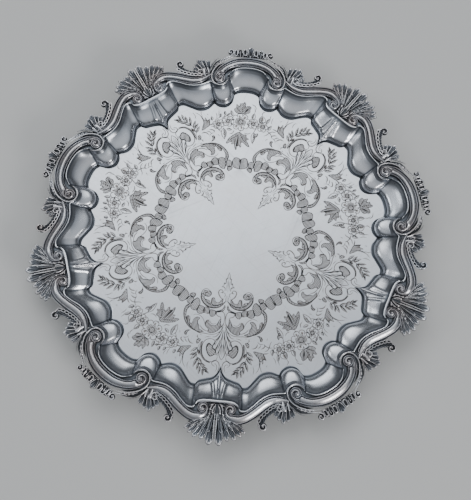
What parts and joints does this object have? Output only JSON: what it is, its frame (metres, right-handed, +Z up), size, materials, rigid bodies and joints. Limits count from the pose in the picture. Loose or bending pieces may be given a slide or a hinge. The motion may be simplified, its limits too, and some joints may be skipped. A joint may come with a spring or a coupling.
{
  "type": "footed serving salver",
  "caption": "Round shaped salver with an engraved lobed well, a raised border of cast scrolls, shells, palmettes and crests, and low scroll feet.",
  "frame": {"origin": "on the salver's axis, at the level of the surface that the feet stand on", "axes": "+Z up through the centre of the well; -Y towards shell_1; the ornament repeats every 72 degrees about Z, numbered counterclockwise from above"},
  "size_m": [0.295, 0.3049, 0.0289],
  "materials": {
    "plate_silver": "raised sheet silver, satin-bright floor with engraved ornament, darkened in the cuts and at the foot of the wall",
    "cast_silver": "cast silver, bright on the rolls and nearly black with tarnish in the recesses"
  },
  "bodies": {
    "root": {"tray_plate": "plate_silver", "shell_1": "cast_silver", "shell_2": "cast_silver", "shell_3": "cast_silver", "shell_4": "cast_silver", "shell_5": "cast_silver", "s_scroll_left_1": "cast_silver", "s_scroll_left_2": "cast_silver", "s_scroll_left_3": "cast_silver", "s_scroll_left_4": "cast_silver", "s_scroll_left_5": "cast_silver", "s_scroll_right_1": "cast_silver", "s_scroll_right_2": "cast_silver", "s_scroll_right_3": "cast_silver", "s_scroll_right_4": "cast_silver", "s_scroll_right_5": "cast_silver", "palmette_left_1": "cast_silver", "palmette_left_2": "cast_silver", "palmette_left_3": "cast_silver", "palmette_left_4": "cast_silver", "palmette_left_5": "cast_silver", "palmette_right_1": "cast_silver", "palmette_right_2": "cast_silver", "palmette_right_3": "cast_silver", "palmette_right_4": "cast_silver", "palmette_right_5": "cast_silver", "c_scroll_1": "cast_silver", "c_scroll_2": "cast_silver", "c_scroll_3": "cast_silver", "c_scroll_4": "cast_silver", "c_scroll_5": "cast_silver", "foot_1": "cast_silver", "foot_2": "cast_silver", "foot_3": "cast_silver", "foot_4": "cast_silver", "foot_5": "cast_silver"}
  },
  "joints": []
}
